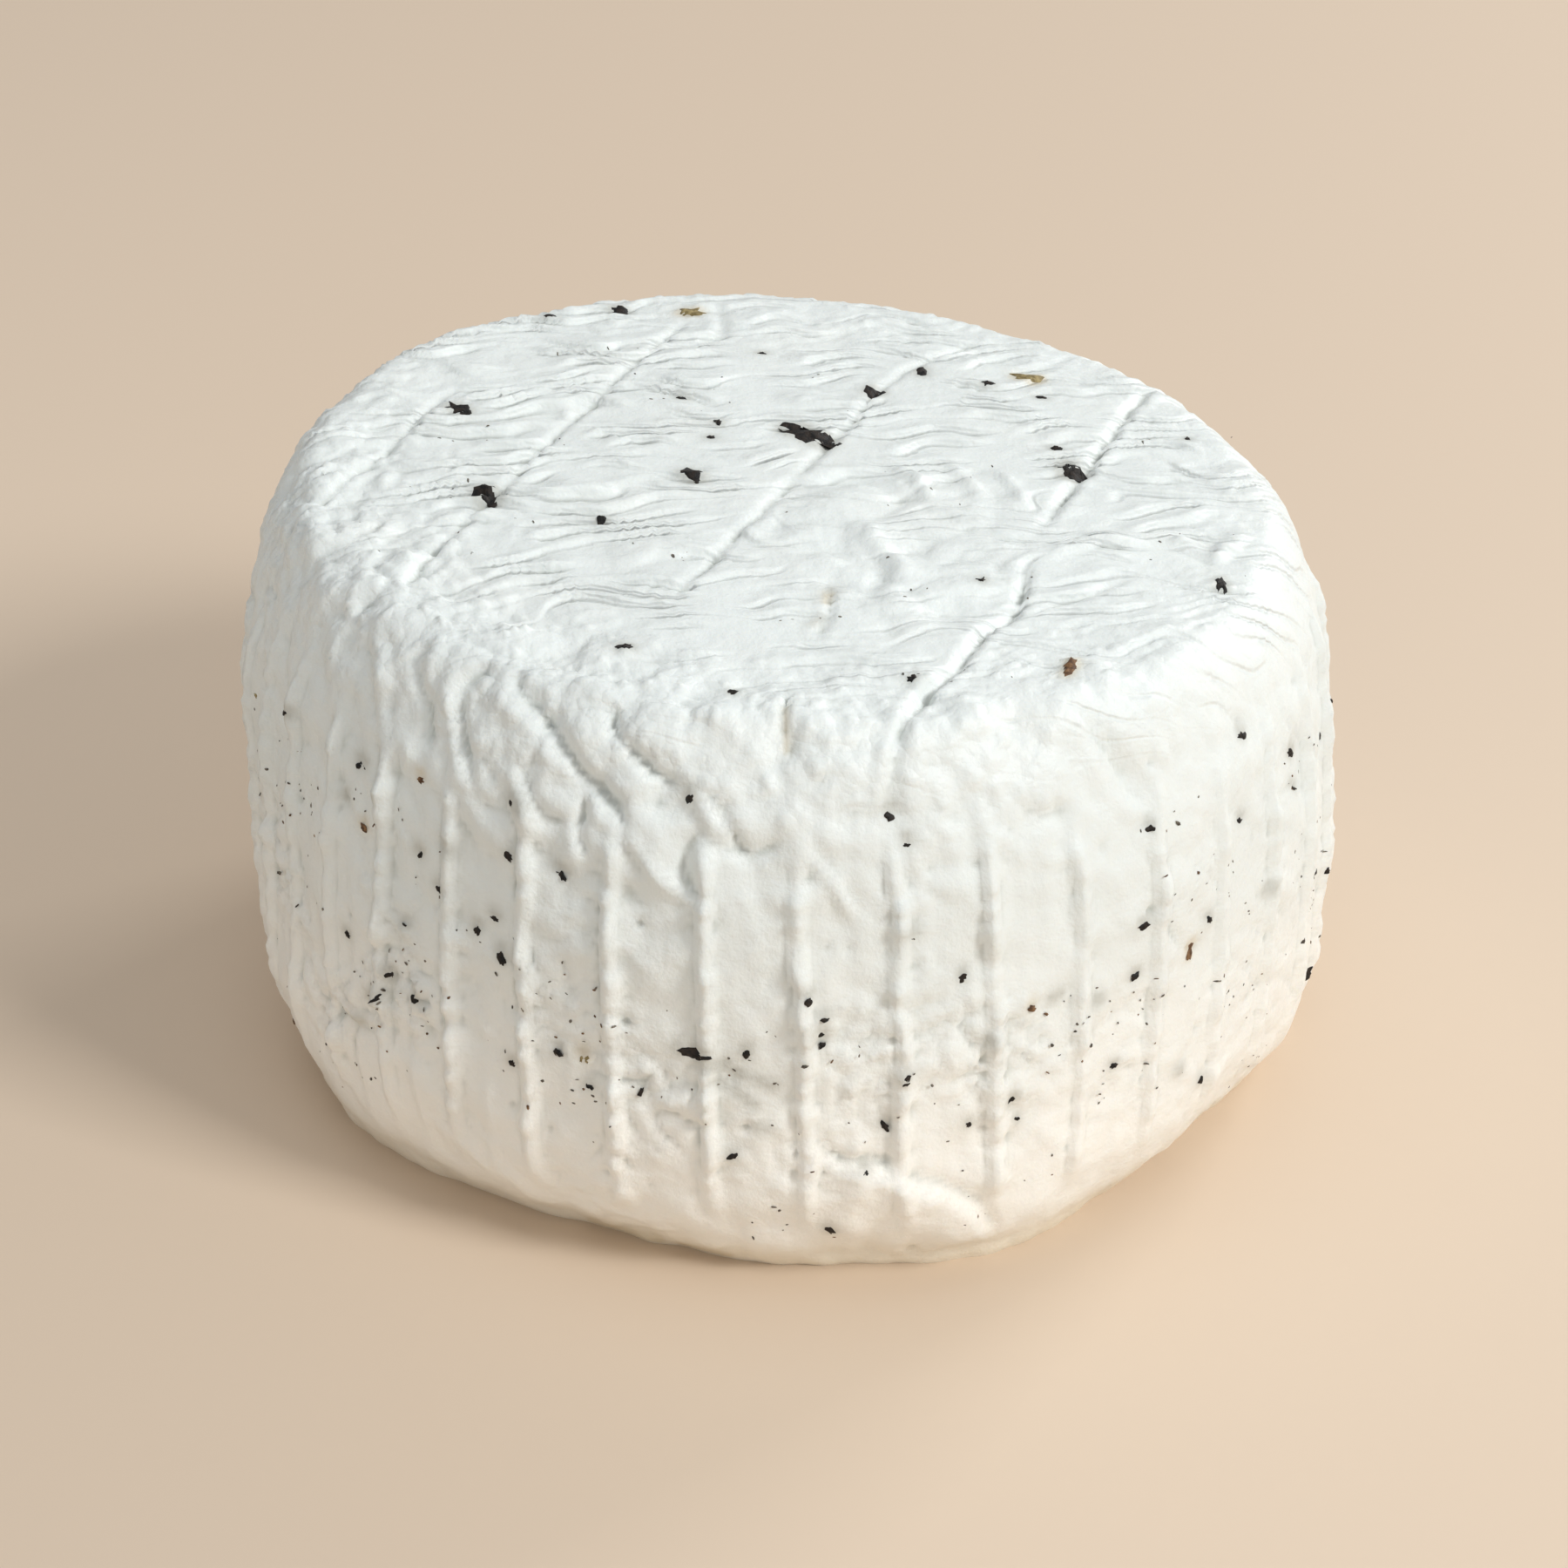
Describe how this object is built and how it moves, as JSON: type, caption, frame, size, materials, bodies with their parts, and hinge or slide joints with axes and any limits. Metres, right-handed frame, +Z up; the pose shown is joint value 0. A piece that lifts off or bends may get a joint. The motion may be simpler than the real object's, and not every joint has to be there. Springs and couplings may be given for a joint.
{
  "type": "truffle primosale cheese",
  "caption": "Whole small fresh white cheese with black truffle flecks, a low drum with basket ribs round its wall and slanting grooves on its top.",
  "frame": {"origin": "middle of the base, where the cheese rests", "axes": "+Z up; -Y is the side that faces the viewer of the picture; +X to that viewer's right"},
  "size_m": [0.1209, 0.1225, 0.0648],
  "materials": {
    "curd": "moist white fresh curd with near-black truffle flecks and a slightly cream foot"
  },
  "bodies": {
    "root": {"cheese": "curd"}
  },
  "joints": []
}
